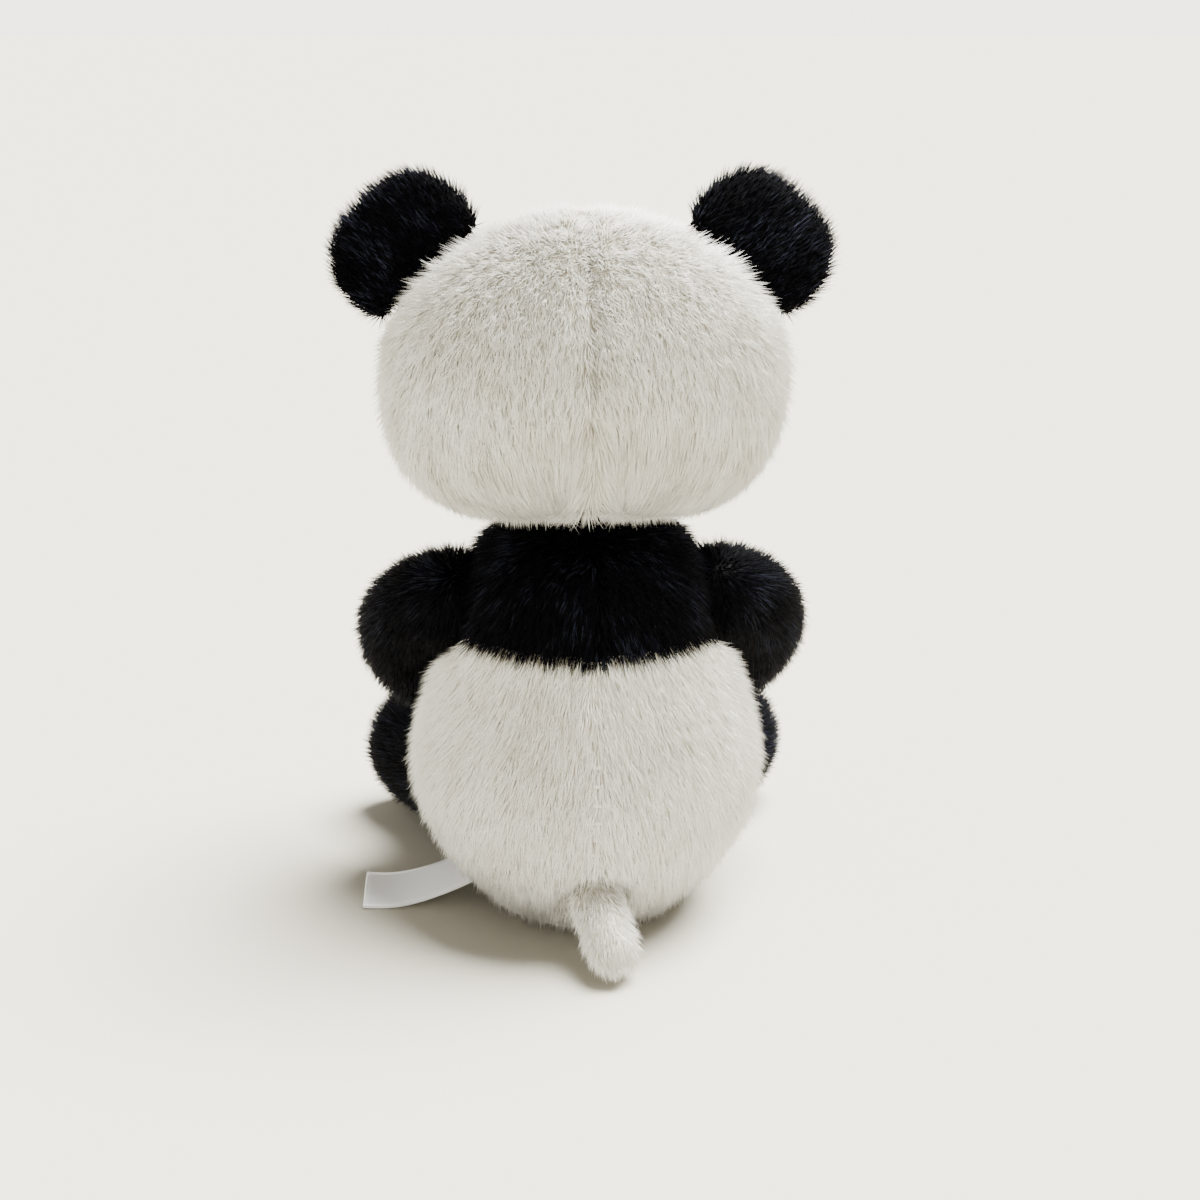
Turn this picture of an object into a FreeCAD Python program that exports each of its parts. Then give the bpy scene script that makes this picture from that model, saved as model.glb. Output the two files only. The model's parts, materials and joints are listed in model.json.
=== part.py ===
"""Sitting plush panda, built from its sewn panels, stuffing and fittings.

Millimetres, +Z up. The toy sits on z = 0 and faces -Y; +X is its own left side.
The origin is the middle of the flat seat. Every skin is the backing cloth with its dense pile.
"""
import FreeCAD, Part
import math
import os

os.makedirs("parts", exist_ok=True)
Vec = FreeCAD.Vector

# ---- skins and clearances ----
skin = 4.0                  # thickness of backing cloth and dense pile
joint_gap = 0.5             # air between a moving piece and the pocket that it turns in
bore_gap = 0.15             # air round a shank in its hole

# ---- torso ----
body_radius = 60.5          # widest part of the belly
body_height = 147.0         # seat to the top of the neck dome
seat_radius = 28.0          # flat bottom
neck_radius = 50.0          # neck dome, a ball under the head
yoke_seam_height = 103.0    # where the black band meets the white body
neck_opening_radius = 17.0
# outline above the seat: (share of the body radius, share of the height up to the dome's edge)
body_outline = ((0.62, 0.06), (0.75, 0.13), (0.875, 0.217), (0.965, 0.31), (1.00, 0.42), (0.935, 0.58),
                (0.84, 0.712), (0.765, 0.836), (0.718, 0.93))
dome_edge_angle = 50.0      # degrees from the vertical, where the dome runs into the shoulders

# ---- head ----
head_half_width = 67.0
head_radius = 53.0          # half its height and half its depth
head_rise = 41.0            # head centre above the top of the neck dome
head_forward = 6.0
muzzle_radius = 26.0
muzzle_drop = 17.0          # muzzle centre below the head centre
muzzle_forward = 39.0       # muzzle centre in front of the head centre

# ---- eyes, nose and mouth ----
eye_spacing = 44.0
eye_height = 2.0            # above the head centre
eye_radius = 6.5
eye_dome_height = 4.6
patch_half_width = 11.0
patch_half_height = 15.0
patch_tilt = 32.0           # degrees, tops lean together
patch_thickness = 1.4
nose_half_width = 7.5
nose_dome_height = 5.0
nose_lift = 9.0             # nose centre above the muzzle centre
shank_radius = 2.0
shank_length = 13.0
washer_radius = 6.5
washer_thickness = 1.6
washer_depth = skin + 1.3   # below the outside of the skin
thread_radius = 0.6

# ---- ears ----
ear_base_half_width = 24.0
ear_half_width = 25.5
ear_height = 30.0
ear_thickness = 9.0
ear_place_angle = 40.0      # round the head's outline, from the side towards the crown

# ---- arms ----
arm_radius = 17.5
shoulder_height = 112.5
elbow_offset = (12.5, -10.0, -7.5)    # from the shoulder's centre, outwards along the first value
paw_offset = (7.5, -35.0, -38.0)

# ---- legs ----
hip_radius = 20.0
foot_radius = 27.0
leg_length = 52.0           # hip centre to foot centre
hip_height = 25.0
hip_inset = 7.0             # hip centre inside the torso's surface
hip_angle = 45.0            # degrees from straight ahead, round the torso
leg_splay = 26.5            # degrees from straight ahead
sole_distance = 17.0        # foot centre to the outside of the sole
leg_lift_range = 20.0       # degrees

# ---- tail ----
tail_radius = 9.5
tail_length = 20.0          # root centre to tip centre
tail_root_height = 22.0
tail_root_inset = 4.0
tail_lean = 15.0            # degrees, towards the right side
tail_wag_range = 20.0       # degrees each way

# ---- label ----
label_width = 25.0
label_length = 39.0
label_thickness = 1.2
label_root_height = 11.0
label_front_shift = 3.0     # its middle, in front of the side seam

# ---- seat filling ----
pouch_radius = 35.0
pouch_height = 24.0
pouch_cloth = 1.0
base_panel_thickness = 3.0
closing_stitch_count = 7
closing_stitch_from = 36.0
closing_stitch_pitch = 6.0

FAR = 400.0                 # larger than the toy, for the blocks that split it at its seams
SIDES = (("left", 1.0), ("right", -1.0))
UP = Vec(0, 0, 1)
FRONT = Vec(0, -1, 0)
BACK = Vec(0, 1, 0)

neck_centre = Vec(0, 0, body_height - neck_radius)
head_centre = Vec(0, -head_forward, body_height + head_rise)


def save(name, shape):
    """Write one piece."""
    solids = shape.Solids
    piece = solids[0] if len(solids) == 1 else Part.makeCompound(solids)
    piece.exportStep("parts/" + name + ".step")


def spin(edges, origin, axis):
    """Solid of revolution of a closed outline."""
    face = Part.Face(Part.Wire(edges))
    solid = face.revolve(origin, axis, 360)
    solid = Part.Solid(solid.Shells[0]) if solid.ShapeType != "Solid" else solid
    if solid.Volume < 0:
        solid.reverse()
    return solid


def ball(centre, radius):
    return Part.makeSphere(radius, centre)


def rod(base, direction, radius, length):
    return Part.makeCylinder(radius, length, base, direction)


def side_of(shape, point, normal):
    """The part of a shape on the side of a plane that the normal points to."""
    block = Part.makeBox(FAR, FAR, FAR, Vec(-FAR / 2, -FAR / 2, 0))
    turn = FreeCAD.Rotation(UP, normal)
    block.Placement = FreeCAD.Placement(point, turn, Vec(0, 0, 0)) * block.Placement
    return shape.common(block)


def limb(start, start_radius, end, end_radius):
    """Two balls and the cone that touches both, as one solid of revolution."""
    axis = end - start
    length = axis.Length
    axis.normalize()
    across = axis.cross(UP) if abs(axis.z) < 0.9 else axis.cross(Vec(1, 0, 0))
    across.normalize()
    lean = math.asin((start_radius - end_radius) / length)

    def at(along, out):
        return start + axis * along + across * out

    def on_ball(centre, radius, angle):
        return at(centre + radius * math.sin(angle), radius * math.cos(angle))

    quarter = math.pi / 2
    near = on_ball(0, start_radius, lean)
    far = on_ball(length, end_radius, lean)
    first = at(-start_radius, 0)
    last = at(length + end_radius, 0)
    edges = [
        Part.Arc(first, on_ball(0, start_radius, (lean - quarter) / 2), near).toShape(),
        Part.LineSegment(near, far).toShape(),
        Part.Arc(far, on_ball(length, end_radius, (lean + quarter) / 2), last).toShape(),
        Part.LineSegment(last, first).toShape(),
    ]
    return spin(edges, start, axis)


# ---- torso surfaces ----

def outline_curve():
    """Torso outline from the edge of the seat to the edge of the neck dome, in the XZ plane."""
    edge = math.radians(dome_edge_angle)
    top = Vec(neck_radius * math.sin(edge), 0, neck_centre.z + neck_radius * math.cos(edge))
    points = [Vec(seat_radius, 0, 0)]
    points += [Vec(r * body_radius, 0, h * top.z) for r, h in body_outline]
    points.append(top)
    curve = Part.BSplineCurve()
    curve.interpolate(Points=points, InitialTangent=Vec(1, 0, 0.15),
                      FinalTangent=Vec(-math.cos(edge), 0, math.sin(edge)))
    return curve


def inset_outline(inset, samples=14):
    """The same outline moved inwards, and its end points."""
    curve = outline_curve()
    points = []
    for i in range(samples + 1):
        u = curve.FirstParameter + (curve.LastParameter - curve.FirstParameter) * i / samples
        along = curve.tangent(u)[0]
        points.append(curve.value(u) + Vec(-along.z, 0, along.x) * inset)
    points[0] = Vec(points[0].x, 0, inset)
    inner = Part.BSplineCurve()
    inner.interpolate(points)
    return inner, points[0], points[-1]


def torso_form(inset):
    """Torso as one full solid, its surface moved inwards by inset."""
    if inset:
        curve, low, high = inset_outline(inset)
    else:
        curve = outline_curve()
        low = curve.StartPoint
        high = curve.EndPoint
    radius = neck_radius - inset
    half = math.radians(dome_edge_angle / 2)
    middle = neck_centre + Vec(radius * math.sin(half), 0, radius * math.cos(half))
    top = neck_centre + Vec(0, 0, radius)
    foot = Vec(0, 0, low.z)
    edges = [
        Part.LineSegment(foot, low).toShape(),
        curve.toShape(),
        Part.Arc(high, middle, top).toShape(),
        Part.LineSegment(top, foot).toShape(),
    ]
    return spin(edges, Vec(0, 0, 0), UP)


def torso_radius(height):
    """Radius of the torso's surface at a height below the neck dome."""
    curve = outline_curve()
    low = curve.FirstParameter
    high = curve.LastParameter
    for _ in range(40):
        middle = (low + high) / 2
        if curve.value(middle).z < height:
            low = middle
        else:
            high = middle
    return curve.value(low).x


def on_torso(angle, height, outwards=0.0):
    """Point by the torso's surface, at an angle in degrees from straight ahead towards +X."""
    radius = torso_radius(height) + outwards
    turn = math.radians(angle)
    return Vec(radius * math.sin(turn), -radius * math.cos(turn), height)


# ---- places of the limbs ----

def mirror(v, side):
    return Vec(v.x * side, v.y, v.z)


def shoulder_centre(side):
    """Middle of the shoulder seam, on the torso's side."""
    return Vec(side * torso_radius(shoulder_height), 0, shoulder_height)


def hip_centre(side):
    return mirror(on_torso(hip_angle, hip_height, -hip_inset), side)


def leg_direction(side, lift=0.0):
    """Direction from hip to foot. At rest the foot's ball stands on the floor."""
    slope = math.asin((foot_radius - hip_height) / leg_length) + math.radians(lift)
    turn = math.radians(leg_splay)
    level = Vec(side * math.sin(turn), -math.cos(turn), 0)
    return level * math.cos(slope) + UP * math.sin(slope)


def tail_root():
    return Vec(0, torso_radius(tail_root_height) - tail_root_inset, tail_root_height)


def tail_direction():
    drop = math.asin((tail_root_height - tail_radius - 2) / tail_length)
    turn = math.radians(tail_lean)
    return Vec(-math.sin(turn) * math.cos(drop), math.cos(turn) * math.cos(drop), -math.sin(drop))


def half_ball(centre, radius, direction):
    return side_of(ball(centre, radius), centre, direction)


def arm_line(side):
    """Curved middle line of an arm, from the shoulder round the elbow to the paw."""
    start = shoulder_centre(side)
    return Part.Arc(start, start + mirror(Vec(*elbow_offset), side), start + mirror(Vec(*paw_offset), side))


def arm_form(side, grow=0.0):
    """Arm: a bent tube with round ends."""
    line = arm_line(side)
    path = Part.Wire(line.toShape())
    radius = arm_radius + grow
    start = line.StartPoint
    end = line.EndPoint
    start_way = line.tangent(line.FirstParameter)[0]
    end_way = line.tangent(line.LastParameter)[0]
    ring = Part.Wire(Part.Circle(start, start_way, radius).toShape())
    tube = path.makePipeShell([ring], True, True)
    tube = tube.fuse(half_ball(start, radius, -start_way))
    return tube.fuse(half_ball(end, radius, end_way))


def leg_form(side, grow=0.0, lift=0.0, spread=0.0):
    """A leg. With spread, a cone that takes in the leg turned that many degrees either way."""
    start = hip_centre(side)
    end = start + leg_direction(side, lift) * leg_length
    wider = leg_length * math.sin(math.radians(spread))
    return limb(start, hip_radius + grow, end, foot_radius + grow + wider)


def tail_form(grow=0.0, spread=0.0):
    """The tail, or with spread the room that it wags in."""
    start = tail_root()
    end = start + tail_direction() * tail_length
    wider = tail_length * math.sin(math.radians(spread))
    return limb(start, tail_radius + grow, end, tail_radius + grow + wider)


def cut_each(shape, cutters):
    """One cut after another, which is quicker than all at once."""
    for cutter in cutters:
        shape = shape.cut(cutter)
    return shape


def torso_hollows(depth):
    """What the limbs press into the torso, over their whole travel, grown by depth."""
    cutters = [arm_form(side, depth) for _, side in SIDES]
    cutters += [leg_form(side, depth, leg_lift_range / 2, leg_lift_range / 2) for _, side in SIDES]
    cutters.append(tail_form(depth, tail_wag_range))
    return cutters


def torso_skin_and_core():
    """The torso's closed skin, 'skin' thick, dents included, and the room inside it."""
    outer = cut_each(torso_form(0), torso_hollows(joint_gap))
    core = cut_each(torso_form(skin), torso_hollows(joint_gap + skin))
    return outer.cut(core), core, outer


# ---- head surfaces ----

def head_form(grow=0.0):
    """Head: a ball stretched along the line through the ears."""
    stretch = FreeCAD.Matrix()
    stretch.scale((head_half_width + grow) / (head_radius + grow), 1, 1)
    stretch.move(head_centre)
    plain = Part.makeSphere(head_radius + grow, Vec(0, 0, 0), Vec(1, 0, 0))
    return plain.transformGeometry(stretch)


def head_front(x, z):
    """Point on the front of the head, from x and the height above its centre, and the outward normal."""
    a = head_half_width
    r = head_radius
    depth = r * math.sqrt(1 - (x / a) ** 2 - (z / r) ** 2)
    normal = Vec(x / a ** 2, -depth / r ** 2, z / r ** 2)
    normal.normalize()
    return head_centre + Vec(x, -depth, z), normal


def neck_pocket(grow):
    """Hollow under the head that rides on the neck dome."""
    return ball(neck_centre, neck_radius + grow)


def ear_hinge(side):
    """Middle of an ear's base on the head, the base line, and the way that the ear stands out."""
    turn = math.radians(ear_place_angle)
    a = head_half_width
    r = head_radius
    place = Vec(side * a * math.cos(turn), 0, r * math.sin(turn))
    out = Vec(side * math.cos(turn) / a, 0, math.sin(turn) / r)
    out.normalize()
    along = out.cross(BACK)
    return head_centre + place, along, out


def ear_groove(side, grow):
    """Groove along an ear's base, round the line that the ear folds about."""
    middle, along, _ = ear_hinge(side)
    half = ear_base_half_width + joint_gap
    return rod(middle - along * half, along, ear_thickness / 2 + grow, 2 * half)


# ---- torso pieces ----

def neck_ring(radius):
    """Ring of thread sunk in the edge of the neck opening."""
    ring = neck_opening_radius + 2.2
    sunk = neck_radius - thread_radius
    height = neck_centre.z + math.sqrt(sunk ** 2 - ring ** 2)
    return Part.makeTorus(ring, radius, Vec(0, 0, height), UP)


def make_torso():
    shell, core, outer = torso_skin_and_core()
    opening = rod(Vec(0, 0, neck_centre.z), UP, neck_opening_radius, FAR)
    seat = rod(Vec(0, 0, 0), UP, seat_radius, base_panel_thickness)
    seat_hole = rod(Vec(0, 0, 0), UP, seat_radius - 1, skin)
    skins = cut_each(shell, [opening, neck_ring(thread_radius + joint_gap), seat, seat_hole])
    yoke = side_of(skins, Vec(0, 0, yoke_seam_height), UP)
    white = side_of(skins, Vec(0, 0, yoke_seam_height), -UP)
    save("yoke_front", side_of(yoke, Vec(0, 0, 0), FRONT))
    save("belly_front", side_of(white, Vec(0, 0, 0), FRONT))
    for name, side in SIDES:
        outwards = Vec(side, 0, 0)
        save("yoke_back_" + name, side_of(side_of(yoke, Vec(0, 0, 0), BACK), Vec(0, 0, 0), outwards))
        save("body_back_" + name, side_of(side_of(white, Vec(0, 0, 0), BACK), Vec(0, 0, 0), outwards))
    save("base_panel", seat)
    plug = shell.common(opening)
    seat_room = outer.common(rod(Vec(0, 0, base_panel_thickness), UP, seat_radius - 1, skin))
    filling = core.fuse([plug, seat_room])
    clear = joint_gap + skin + pouch_cloth
    pouch = cut_each(pouch_form(0), torso_hollows(clear))
    pellets = cut_each(pouch_form(pouch_cloth), torso_hollows(clear + pouch_cloth))
    save("body_stuffing", cut_each(filling, [pouch, seat]))
    save("pellet_pouch", pouch.cut(pellets))
    save("pellets", pellets)
    save("neck_stitches", neck_ring(thread_radius))
    save("closing_stitches", closing_stitches())


def pouch_form(inset):
    """Flat round bag in the seat, with a rounded rim."""
    low = skin + 0.5 + inset
    high = skin + 0.5 + pouch_height - inset
    rim = (high - low) / 2
    reach = pouch_radius - inset - rim
    edges = [
        Part.LineSegment(Vec(0, 0, low), Vec(reach, 0, low)).toShape(),
        Part.Arc(Vec(reach, 0, low), Vec(reach + rim, 0, low + rim), Vec(reach, 0, high)).toShape(),
        Part.LineSegment(Vec(reach, 0, high), Vec(0, 0, high)).toShape(),
        Part.LineSegment(Vec(0, 0, high), Vec(0, 0, low)).toShape(),
    ]
    return spin(edges, Vec(0, 0, 0), UP)


def closing_stitches():
    """Short threads laid across the back seam above the tail."""
    half = 1.6
    out = thread_radius + 0.05
    threads = []
    for i in range(closing_stitch_count):
        height = closing_stitch_from + i * closing_stitch_pitch
        y = torso_radius(height) + out
        threads.append(rod(Vec(-half, y, height), Vec(1, 0, 0), thread_radius, 2 * half))
    return Part.makeCompound(threads)


# ---- head pieces ----

def muzzle_centre():
    return head_centre + Vec(0, -muzzle_forward, -muzzle_drop)


def eye_place(side):
    return head_front(side * eye_spacing / 2, eye_height)


def nose_place():
    """Base of the nose on the muzzle, and its outward direction."""
    turn = math.asin(nose_lift / muzzle_radius)
    out = Vec(0, -math.cos(turn), math.sin(turn))
    return muzzle_centre() + out * muzzle_radius, out


def fitting_holes(grow=bore_gap):
    """Holes through skins and stuffing for the shanks of the eyes and the nose."""
    places = [eye_place(side) for _, side in SIDES] + [nose_place()]
    return [rod(p + n * 4, -n, shank_radius + grow, shank_length + 8) for p, n in places]


def washer(place, normal):
    """Lock washer on a shank."""
    hole = rod(place + normal * 4, -normal, shank_radius, FAR / 4)
    return washer_room(place, normal).cut(hole)


def washer_room(place, normal):
    return rod(place - normal * washer_depth, -normal, washer_radius, washer_thickness)


def dome_on_shank(place, normal, radius, height, shank):
    """Domed fitting with a flat underside and a shank."""
    sphere = (radius ** 2 + height ** 2) / (2 * height)
    cap = side_of(ball(place + normal * (height - sphere), sphere), place, normal)
    return cap.fuse(rod(place + normal * 0.5, -normal, shank_radius, shank))


def eye_patch(side):
    """Black oval sewn on the face: a thin curved layer on the head's surface."""
    place, _ = eye_place(side)
    tilt = side * patch_tilt
    oval = Part.Ellipse(Vec(0, patch_half_height, 0), Vec(patch_half_width, 0, 0), Vec(0, 0, 0))
    face = Part.Face(Part.Wire(oval.toShape()))
    prism = face.extrude(Vec(0, 0, FAR / 4))
    stand = FreeCAD.Rotation(Vec(1, 0, 0), 90)
    lean = FreeCAD.Rotation(BACK, tilt)
    middle = place + Vec(side * 2, 0, -3)
    prism.Placement = FreeCAD.Placement(middle + BACK * 20, lean * stand)
    layer = head_form(patch_thickness).cut(head_form())
    return cut_each(layer.common(prism), fitting_holes() + [muzzle_ball(0)])


def muzzle_ball(inset):
    return ball(muzzle_centre(), muzzle_radius - inset)


def mouth_stitches():
    """Thread down from the nose, and a curve to each side, laid on the muzzle's surface."""
    centre = muzzle_centre()
    reach = muzzle_radius + thread_radius

    def point(across, down):
        a = math.radians(across)
        b = math.radians(down)
        return centre + Vec(math.sin(a) * math.cos(b), -math.cos(a) * math.cos(b), math.sin(b)) * reach

    def thread(first, middle, last):
        path = Part.Wire(Part.Arc(first, middle, last).toShape())
        start = path.Edges[0]
        ring = Part.Circle(first, start.tangentAt(start.FirstParameter), thread_radius)
        return path.makePipeShell([Part.Wire(ring.toShape())], True, True)

    down = thread(point(0, 3), point(0, -4), point(0, -11))
    curves = [thread(point(side * 3, -13), point(side * 13, -22), point(side * 26, -17)) for _, side in SIDES]
    return Part.makeCompound([down] + curves)


def make_head():
    outer = head_form()
    inner = head_form(-skin)
    pocket = neck_pocket(joint_gap)
    grooves = [ear_groove(side, joint_gap) for _, side in SIDES]
    holes = fitting_holes()
    skins = cut_each(outer, [inner, pocket] + grooves + holes)
    halves = {"head_back_": side_of(skins, head_centre, BACK), "face_": side_of(skins, head_centre, FRONT)}
    for prefix, half in halves.items():
        for name, side in SIDES:
            save(prefix + name, side_of(half, head_centre, Vec(side, 0, 0)))
    rooms = []
    for name, side in SIDES:
        place, normal = eye_place(side)
        base = place + normal * (patch_thickness + 0.1)
        save("eye_" + name, dome_on_shank(base, normal, eye_radius, eye_dome_height, shank_length))
        save("eye_washer_" + name, washer(place, normal))
        rooms.append(washer_room(place, normal))
        save("eye_patch_" + name, eye_patch(side))
    place, normal = nose_place()
    save("nose", dome_on_shank(place, normal, nose_half_width, nose_dome_height, shank_length))
    save("nose_washer", washer(place, normal))
    nose_room = washer_room(place, normal)
    save("muzzle_panel", cut_each(muzzle_ball(0), [muzzle_ball(skin), outer] + holes))
    save("muzzle_stuffing", cut_each(muzzle_ball(skin), [outer, nose_room] + holes))
    save("mouth_stitches", mouth_stitches())
    save("head_stuffing", cut_each(inner, [pocket, nose_room] + grooves + holes + rooms))


def ear_blank(side, low, high):
    """Half-round flap with a rounded base, between two depths through its thickness."""
    middle, along, out = ear_hinge(side)
    w = ear_half_width
    b = ear_base_half_width
    waist = ear_height * 0.38

    def at(across, up):
        return middle + along * across + out * up + BACK * low

    rim = Part.BSplineCurve()
    rim.interpolate(Points=[at(b, 0), at(w, waist), at(w * 0.72, ear_height * 0.86), at(0, ear_height),
                            at(-w * 0.72, ear_height * 0.86), at(-w, waist), at(-b, 0)])
    base = Part.LineSegment(at(-b, 0), at(b, 0)).toShape()
    flap = Part.Face(Part.Wire([rim.toShape(), base])).extrude(BACK * (high - low))
    root = rod(middle - along * b, along, ear_thickness / 2, 2 * b)
    root = side_of(side_of(root, middle + BACK * low, BACK), middle + BACK * high, FRONT)
    return flap.fuse(root).removeSplitter()


def make_ears():
    half = ear_thickness / 2
    for name, side in SIDES:
        save("ear_" + name + "_front", ear_blank(side, -half, 0))
        save("ear_" + name + "_back", ear_blank(side, 0, half))


# ---- limbs ----

def save_halves(shell, point, normal, first, second):
    save(first, side_of(shell, point, normal))
    save(second, side_of(shell, point, -normal))


def make_arms():
    for name, side in SIDES:
        core = arm_form(side, -skin)
        shell = arm_form(side).cut(core)
        line = arm_line(side)
        chord = line.EndPoint - line.StartPoint
        bulge = line.value((line.FirstParameter + line.LastParameter) / 2) - line.StartPoint
        split = chord.cross(bulge)
        split.normalize()
        save_halves(shell, line.StartPoint, split * side, "arm_%s_upper" % name, "arm_%s_under" % name)
        save("arm_%s_stuffing" % name, core)


def make_legs():
    for name, side in SIDES:
        along = leg_direction(side)
        foot = hip_centre(side) + along * leg_length
        sole_face = foot + along * sole_distance
        sole_back = foot + along * (sole_distance - skin)
        body = side_of(leg_form(side), sole_face, -along)
        core = side_of(leg_form(side, -skin), sole_back, -along)
        tube = body.cut(core)
        disc_radius = math.sqrt(foot_radius ** 2 - sole_distance ** 2) - 0.5
        disc = rod(sole_back, along, disc_radius, skin)
        across = along.cross(UP)
        up = across.cross(along)
        up.normalize()
        save_halves(tube.cut(disc), foot, up, "leg_%s_top" % name, "leg_%s_under" % name)
        save("foot_%s_sole" % name, tube.common(disc))
        save("leg_%s_stuffing" % name, core)


def make_tail():
    core = tail_form(-skin)
    across = tail_direction().cross(UP)
    up = across.cross(tail_direction())
    up.normalize()
    save_halves(tail_form().cut(core), tail_root(), up, "tail_upper", "tail_under")
    save("tail_stuffing", core)


# ---- label ----

def make_label():
    """Ribbon folded in half, sewn into the left side seam, bending down to lie on the floor."""
    root = torso_radius(label_root_height) + joint_gap
    low = label_thickness / 2 + 0.6
    middle = [Vec(root, 0, label_root_height), Vec(root + label_length * 0.32, 0, label_root_height * 0.42),
              Vec(root + label_length * 0.66, 0, low + 0.5), Vec(root + label_length, 0, low)]
    line = Part.BSplineCurve()
    line.interpolate(middle)

    def side_line(shift):
        points = []
        for i in range(9):
            u = line.FirstParameter + (line.LastParameter - line.FirstParameter) * i / 8
            t = line.tangent(u)[0]
            points.append(line.value(u) + Vec(-t.z, 0, t.x) * shift)
        curve = Part.BSplineCurve()
        curve.interpolate(points)
        return curve

    top = side_line(label_thickness / 2)
    bottom = side_line(-label_thickness / 2)
    edges = [top.toShape(), Part.LineSegment(top.EndPoint, bottom.EndPoint).toShape(), bottom.toShape(),
             Part.LineSegment(bottom.StartPoint, top.StartPoint).toShape()]
    face = Part.Face(Part.Wire(Part.__sortEdges__(edges)))
    face.translate(Vec(0, -label_front_shift - label_width / 2, 0))
    save("side_label", face.extrude(BACK * label_width))


make_torso()
make_head()
make_ears()
make_arms()
make_legs()
make_tail()
make_label()
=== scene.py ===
import json
import math

import bmesh
import bpy
import numpy as np
from mathutils import Matrix, Vector
from mathutils.bvhtree import BVHTree


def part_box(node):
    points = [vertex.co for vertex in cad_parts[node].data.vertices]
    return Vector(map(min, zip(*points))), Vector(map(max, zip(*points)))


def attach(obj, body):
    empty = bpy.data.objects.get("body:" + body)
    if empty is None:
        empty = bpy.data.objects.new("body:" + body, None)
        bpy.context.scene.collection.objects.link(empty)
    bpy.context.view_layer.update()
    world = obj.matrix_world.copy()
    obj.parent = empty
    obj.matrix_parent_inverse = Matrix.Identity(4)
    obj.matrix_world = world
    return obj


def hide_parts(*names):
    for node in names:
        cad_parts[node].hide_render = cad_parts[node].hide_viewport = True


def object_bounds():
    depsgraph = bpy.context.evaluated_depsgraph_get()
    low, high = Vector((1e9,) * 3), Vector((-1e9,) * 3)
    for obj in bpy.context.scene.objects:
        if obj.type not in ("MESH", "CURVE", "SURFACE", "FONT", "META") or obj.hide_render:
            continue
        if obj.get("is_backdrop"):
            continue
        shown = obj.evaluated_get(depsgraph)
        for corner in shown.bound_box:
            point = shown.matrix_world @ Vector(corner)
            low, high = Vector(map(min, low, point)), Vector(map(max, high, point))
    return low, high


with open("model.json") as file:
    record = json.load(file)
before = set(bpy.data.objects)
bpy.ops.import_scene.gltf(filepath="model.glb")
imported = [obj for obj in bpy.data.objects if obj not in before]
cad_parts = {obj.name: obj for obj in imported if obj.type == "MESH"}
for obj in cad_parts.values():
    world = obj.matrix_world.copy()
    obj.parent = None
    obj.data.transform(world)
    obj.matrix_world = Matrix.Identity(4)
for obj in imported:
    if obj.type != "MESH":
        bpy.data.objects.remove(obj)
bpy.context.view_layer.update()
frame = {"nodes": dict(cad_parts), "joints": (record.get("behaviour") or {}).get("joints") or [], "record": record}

MM = 0.001


# ---- Torso panels ----
# The torso is six panels of plush, a woven backing with a long cut pile: a white belly, two white back
# panels and a black yoke in three. They are sewn inside out, turned and stuffed, so each panel swells
# between its seams, and the pile is brushed down over them.

torso_panels = ["belly_front", "body_back_left", "body_back_right",
                "yoke_front", "yoke_back_left", "yoke_back_right"]
backing_thickness = 1.4 * MM
pile_sunk = 0.5 * MM             # how deep the pile's roots stand in the backing
strand_width = 0.45 * MM
strand_density = 2.6e6           # strands on a square metre
voxel = 4.0 * MM
seam_half = 1.5 * MM             # a seam holds the cloth this far to each side
seam_reach = 4.0 * MM            # and lets go of it here
swell = 1.8 * MM                 # how far the filling can push a panel out
pressed_pile = 1.8 * MM          # length of the pile where another part lies on it
white_spread = 0.25              # how far the strands differ in tone, on a scale of -1 to 1
# Black strands spread wider in tone, so a few reach the pale tones that are painted glints.
black_glint_spread = 0.46
torso_pile = 8.5 * MM
torso_lean = math.radians(60)
black_share = {"yoke_front", "yoke_back_left", "yoke_back_right"}


def surface_of(nodes):
    """One mesh of the surfaces of several solids, with its loose triangles joined."""
    surface = bmesh.new()
    for node in nodes:
        surface.from_mesh(frame["nodes"][node].data)
    bmesh.ops.remove_doubles(surface, verts=surface.verts, dist=1e-6)
    return surface


def tree_of(nodes):
    """The same surfaces, ready to be asked for the nearest point."""
    surface = surface_of(nodes)
    tree = BVHTree.FromBMesh(surface)
    surface.free()
    return tree


def evaluated_mesh(piece):
    """What a piece's modifiers make of it, as a plain mesh."""
    graph = bpy.context.evaluated_depsgraph_get()
    return bpy.data.meshes.new_from_object(piece.evaluated_get(graph), preserve_all_data_layers=True,
                                           depsgraph=graph)


def settle(piece):
    """Keeps what the modifiers make, and takes them off."""
    made = evaluated_mesh(piece)
    made.name = piece.name
    piece.modifiers.clear()
    piece.data = made


def new_piece(name, mesh):
    piece = bpy.data.objects.new(name, mesh)
    bpy.context.scene.collection.objects.link(piece)
    return piece


def places(mesh):
    found = np.zeros(len(mesh.vertices) * 3, np.float32)
    mesh.vertices.foreach_get("co", found)
    return found.reshape(-1, 3).astype(float)


def upright(mesh):
    """The way out of the surface at each vertex."""
    found = np.zeros(len(mesh.vertices) * 3, np.float32)
    mesh.vertex_normals.foreach_get("vector", found)
    return found.reshape(-1, 3).astype(float)


def move_to(mesh, where):
    mesh.vertices.foreach_set("co", where.astype(np.float32).ravel())
    mesh.update()


def unit(vectors):
    length = np.linalg.norm(vectors, axis=-1, keepdims=True)
    return vectors / np.maximum(length, 1e-9)


def fade(values, low, high):
    """0 up to low, 1 from high, and smooth between them."""
    share = np.clip((values - low) / (high - low), 0, 1)
    return share * share * (3 - 2 * share)


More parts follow.
